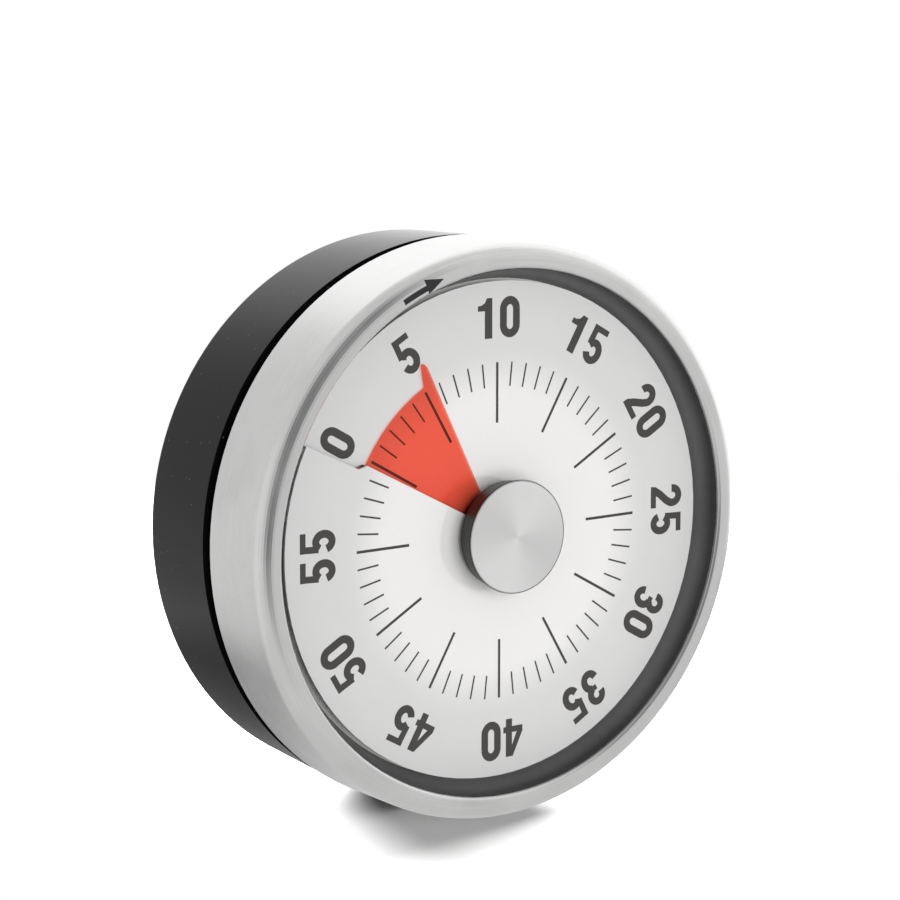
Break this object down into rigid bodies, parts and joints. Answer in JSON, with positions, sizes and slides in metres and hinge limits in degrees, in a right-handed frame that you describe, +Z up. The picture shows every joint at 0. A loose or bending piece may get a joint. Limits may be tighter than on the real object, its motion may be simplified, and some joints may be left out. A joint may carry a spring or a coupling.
{
  "type": "visual countdown timer",
  "caption": "Round wind-up countdown timer: black case, brushed steel ring, white dial with minute numerals, red time-left film, metal-capped knob and magnetic back.",
  "frame": {"origin": "centre of the bounding box at its lowest height: the point on the table under the middle of the timer as it stands on its rim", "axes": "+Z up, through the 10-minute mark; the dial faces -Y and the magnetic back faces +Y; +X is to the right as the dial is read"},
  "size_m": [0.08, 0.0318, 0.08],
  "materials": {
    "case_black": "fine matte moulded texture",
    "pad_rubber": "soft, matt",
    "magnet_plate": "nickel plated",
    "ring_steel": "brushed round the ring",
    "ring_dark": "satin",
    "dial_white": "smooth matt sheet",
    "dial_print": "printed ink",
    "ring_print": "printed ink",
    "film_red": "translucent film",
    "knob_black": "smooth",
    "cap_aluminium": "spun radial grain",
    "plate_steel": "zinc plated",
    "arbor_steel": "turned",
    "spring_steel": "blued",
    "wheel_brass": "stamped",
    "wheel_plastic": "moulded",
    "bell_steel": "plated"
  },
  "bodies": {
    "housing": {"rear_case": "case_black", "back_pad": "pad_rubber", "magnets": "magnet_plate", "steel_ring": "ring_steel", "inner_ring": "ring_dark", "dial_carrier": "wheel_plastic", "carrier_screws": "arbor_steel", "dial": "dial_white", "mainspring": "spring_steel", "rear_plate": "plate_steel", "front_plate": "plate_steel", "pillars": "arbor_steel", "pillar_nuts": "wheel_brass", "movement_screws": "arbor_steel", "hammer_spring": "spring_steel", "bell": "bell_steel", "bell_post": "wheel_brass", "bell_screw": "arbor_steel"},
    "knob": {"knob_body": "knob_black", "knob_cap": "cap_aluminium", "main_arbor": "arbor_steel", "great_wheel": "wheel_brass", "clutch_spring": "spring_steel", "cam_disc": "wheel_brass"},
    "film": {"red_film": "film_red", "film_collar": "film_red"},
    "second_gear": {"second_arbor": "arbor_steel", "second_wheel": "wheel_brass"},
    "third_gear": {"third_arbor": "arbor_steel", "third_wheel": "wheel_plastic"},
    "escape_gear": {"escape_arbor": "arbor_steel", "escape_wheel": "wheel_plastic"},
    "anchor": {"anchor_arbor": "arbor_steel", "pallet_anchor": "plate_steel", "inertia_lever": "wheel_brass"},
    "release": {"release_arbor": "arbor_steel", "release_lever": "plate_steel"},
    "striker": {"hammer_arbor": "arbor_steel", "hammer": "plate_steel"}
  },
  "joints": [
    {"name": "knob_turn", "type": "hinge", "parent": "housing", "child": "knob", "pos_m": [0, 0, 0.04], "axis": [0, 1, 0], "range_deg": [-33.9, 326.1]},
    {"name": "film_climb", "type": "slide", "parent": "knob", "child": "film", "axis": [0, -1, 0], "range_m": [-0.00013, 0.00115]},
    {"name": "second_spin", "type": "hinge", "parent": "housing", "child": "second_gear", "pos_m": [0, 0, 0.0575], "axis": [0, 1, 0], "range_deg": [-1958, 205]},
    {"name": "third_spin", "type": "hinge", "parent": "housing", "child": "third_gear", "pos_m": [-0.0116, 0, 0.05441], "axis": [0, 1, 0], "range_deg": [-1018, 9784]},
    {"name": "escape_spin", "type": "hinge", "parent": "housing", "child": "escape_gear", "pos_m": [-0.01935, 0, 0.04842], "axis": [0, 1, 0], "range_deg": [-58700, 6103]},
    {"name": "anchor_rock", "type": "hinge", "parent": "housing", "child": "anchor", "pos_m": [-0.02165, 0, 0.04149], "axis": [0, 1, 0], "range_deg": [-8, 8]},
    {"name": "release_lift", "type": "hinge", "parent": "housing", "child": "release", "pos_m": [0.01586, 0, 0.0326], "axis": [0, 1, 0], "range_deg": [0, 8], "stiffness_Nm_per_rad": 0.0005, "springref_deg": -5.73},
    {"name": "hammer_swing", "type": "hinge", "parent": "housing", "child": "striker", "pos_m": [0.00691, 0, 0.01331], "axis": [0, 1, 0], "range_deg": [-6, 4.6], "stiffness_Nm_per_rad": 0.0015}
  ],
  "couplings": [
    {"joint": "film_climb", "follows": "knob_turn", "m_per_rad": 0.00020213},
    {"joint": "second_spin", "follows": "knob_turn", "ratio": -6},
    {"joint": "third_spin", "follows": "knob_turn", "ratio": 30},
    {"joint": "escape_spin", "follows": "knob_turn", "ratio": -180}
  ]
}
